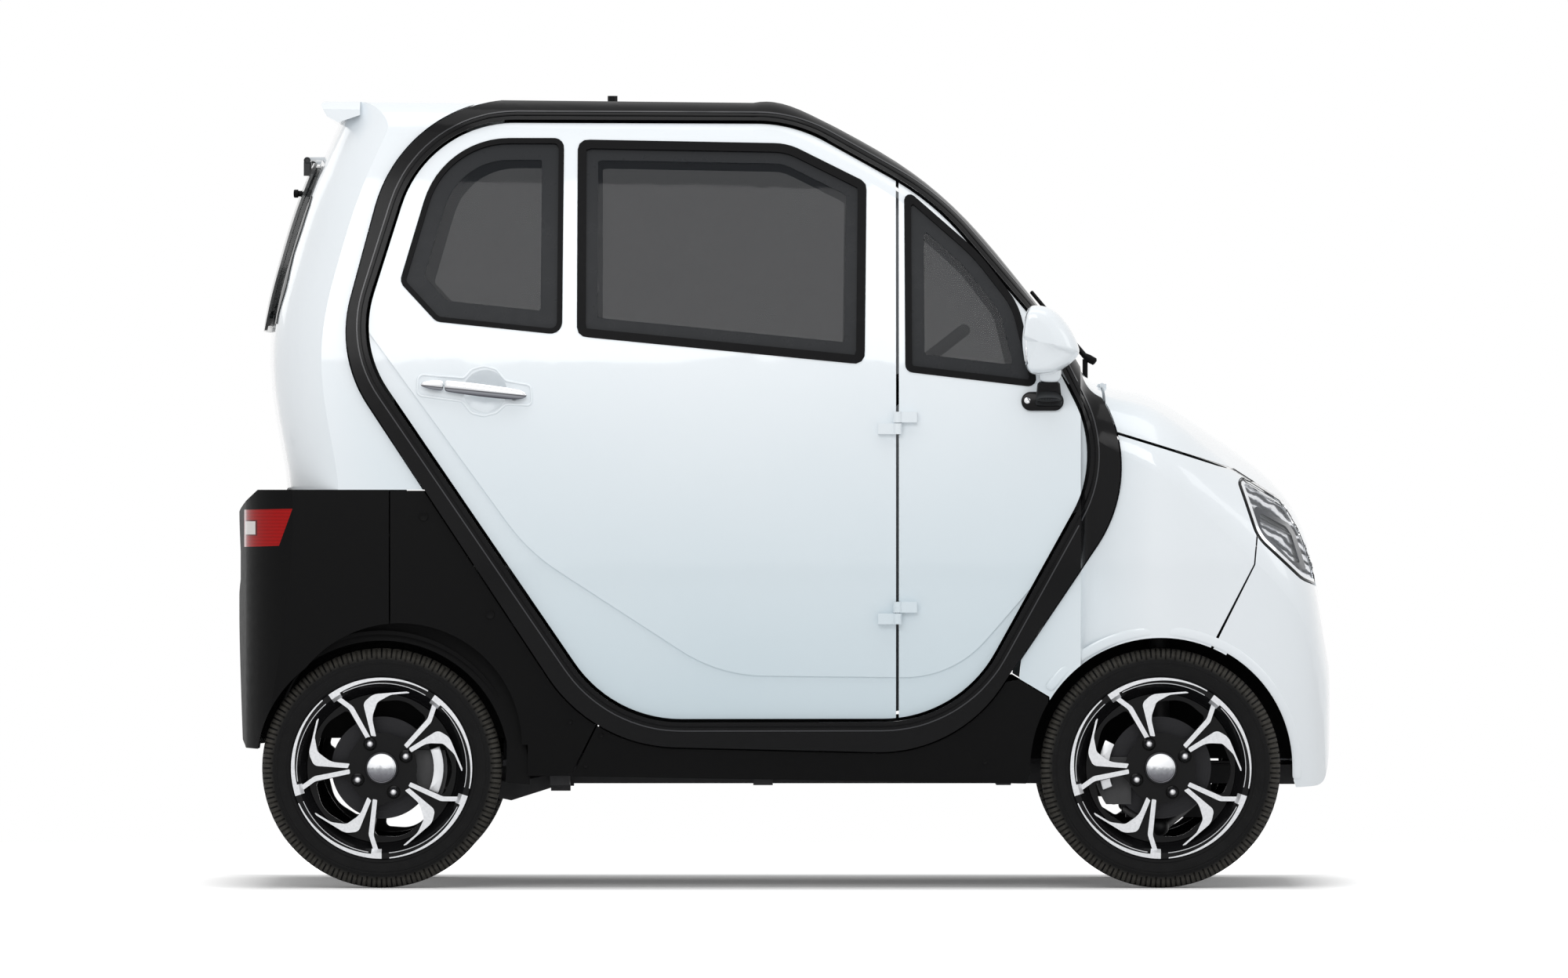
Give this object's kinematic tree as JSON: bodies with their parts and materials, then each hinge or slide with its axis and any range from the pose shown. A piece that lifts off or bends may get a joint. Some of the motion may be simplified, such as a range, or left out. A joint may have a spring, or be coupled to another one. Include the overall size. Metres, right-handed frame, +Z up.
{
  "type": "enclosed mobility scooter",
  "caption": "Small enclosed electric vehicle with hinged doors, a hatch of glass, opening hood, steered front wheels and a cabin for a driver and passenger.",
  "frame": {"origin": "on the ground, under the middle of the overall box", "axes": "+X forward, +Y to the vehicle's left, +Z up"},
  "size_m": [2.26, 1.41, 1.639],
  "materials": {
    "body_white": "gloss",
    "gloss_black": "gloss",
    "satin_black": "satin",
    "dark_glass": "gloss",
    "clear_lens": "gloss",
    "reflector": "gloss",
    "chrome": "gloss",
    "red_lamp": "gloss",
    "frame_steel": "satin",
    "inner_grey": "matte",
    "battery": "matte",
    "upholstery": "satin",
    "rim_finish": "gloss",
    "brake_steel": "satin",
    "cast_parts": "matte",
    "tyre": "matte"
  },
  "bodies": {
    "chassis": {"side_frames": "gloss_black", "roof_panel": "gloss_black", "rear_body": "body_white", "windscreen": "dark_glass", "cowl_panel": "body_white", "front_side_panels": "body_white", "quarter_glass": "dark_glass", "tail_lamps": "red_lamp", "rear_bumper": "satin_black", "rear_quarters": "satin_black", "sills": "satin_black", "headlamp_lenses": "clear_lens", "headlamp_bowls": "reflector", "front_fenders": "body_white", "front_bumper": "body_white", "wheel_liners": "satin_black", "floor_pan": "inner_grey", "bulkhead": "inner_grey", "chassis_frame": "frame_steel", "battery_block": "battery", "seat_bases": "inner_grey", "seat_cushions": "upholstery", "seat_backs": "upholstery", "dashboard": "inner_grey", "front_suspension": "frame_steel", "rack_housing": "frame_steel", "rear_axle": "cast_parts", "rear_suspension": "frame_steel", "mirrors": "body_white", "wiper": "satin_black"},
    "hood": {"hood": "body_white"},
    "rear_hatch": {"rear_hatch": "dark_glass"},
    "door_right": {"door_right": "body_white", "door_glass_right": "dark_glass", "door_handle_right": "chrome"},
    "door_left": {"door_left": "body_white", "door_glass_left": "dark_glass", "door_handle_left": "chrome"},
    "steering_wheel": {"steering_wheel": "satin_black"},
    "steering_rack": {"steering_rack": "brake_steel"},
    "knuckle_right": {"knuckle_right": "cast_parts"},
    "knuckle_left": {"knuckle_left": "cast_parts"},
    "wheel_front_right": {"tyre_front_right": "tyre", "rim_front_right": "rim_finish", "brake_front_right": "brake_steel"},
    "wheel_front_left": {"tyre_front_left": "tyre", "rim_front_left": "rim_finish", "brake_front_left": "brake_steel"},
    "wheel_rear_right": {"tyre_rear_right": "tyre", "rim_rear_right": "rim_finish", "brake_rear_right": "brake_steel"},
    "wheel_rear_left": {"tyre_rear_left": "tyre", "rim_rear_left": "rim_finish", "brake_rear_left": "brake_steel"}
  },
  "joints": [
    {"name": "steering_turn", "type": "hinge", "parent": "chassis", "child": "steering_wheel", "pos_m": [0.261, 0, 1.021], "axis": [-0.6157, 0, 0.788], "range_deg": [-450, 450]},
    {"name": "rack_slide", "type": "slide", "parent": "chassis", "child": "steering_rack", "axis": [0, 1, 0], "range_m": [-0.0452, 0.0452]},
    {"name": "steer_right", "type": "hinge", "parent": "chassis", "child": "knuckle_right", "pos_m": [0.777, -0.425, 0.125], "axis": [0, 0.1998, 0.9798], "range_deg": [-30.2, 30.2]},
    {"name": "steer_left", "type": "hinge", "parent": "chassis", "child": "knuckle_left", "pos_m": [0.777, 0.425, 0.125], "axis": [0, -0.1998, 0.9798], "range_deg": [-30.2, 30.2]},
    {"name": "door_right_hinge", "type": "hinge", "parent": "chassis", "child": "door_right", "pos_m": [0.236, -0.57984, 0.76], "axis": [0, 0, 1], "range_deg": [0, 70]},
    {"name": "door_left_hinge", "type": "hinge", "parent": "chassis", "child": "door_left", "pos_m": [0.236, 0.57984, 0.76], "axis": [0, 0, -1], "range_deg": [0, 70]},
    {"name": "hatch_hinge", "type": "hinge", "parent": "chassis", "child": "rear_hatch", "pos_m": [-0.984, 0, 1.5], "axis": [0, 1, 0], "range_deg": [0, 75]},
    {"name": "hood_hinge", "type": "hinge", "parent": "chassis", "child": "hood", "pos_m": [0.661, 0, 1.034], "axis": [0, -1, 0], "range_deg": [0, 50]},
    {"name": "wheel_front_right_spin", "type": "hinge", "parent": "knuckle_right", "child": "wheel_front_right", "pos_m": [0.777, -0.475, 0.246], "axis": [0, 1, 0], "continuous": true},
    {"name": "wheel_front_left_spin", "type": "hinge", "parent": "knuckle_left", "child": "wheel_front_left", "pos_m": [0.777, 0.475, 0.246], "axis": [0, 1, 0], "continuous": true},
    {"name": "wheel_rear_right_spin", "type": "hinge", "parent": "chassis", "child": "wheel_rear_right", "pos_m": [-0.823, -0.475, 0.246], "axis": [0, 1, 0], "continuous": true},
    {"name": "wheel_rear_left_spin", "type": "hinge", "parent": "chassis", "child": "wheel_rear_left", "pos_m": [-0.823, 0.475, 0.246], "axis": [0, 1, 0], "continuous": true}
  ],
  "couplings": [
    {"joint": "steer_right", "follows": "steering_turn", "ratio": 0.066667},
    {"joint": "steer_left", "follows": "steering_turn", "ratio": 0.066667},
    {"joint": "rack_slide", "follows": "steering_turn", "m_per_rad": -0.0057296}
  ]
}
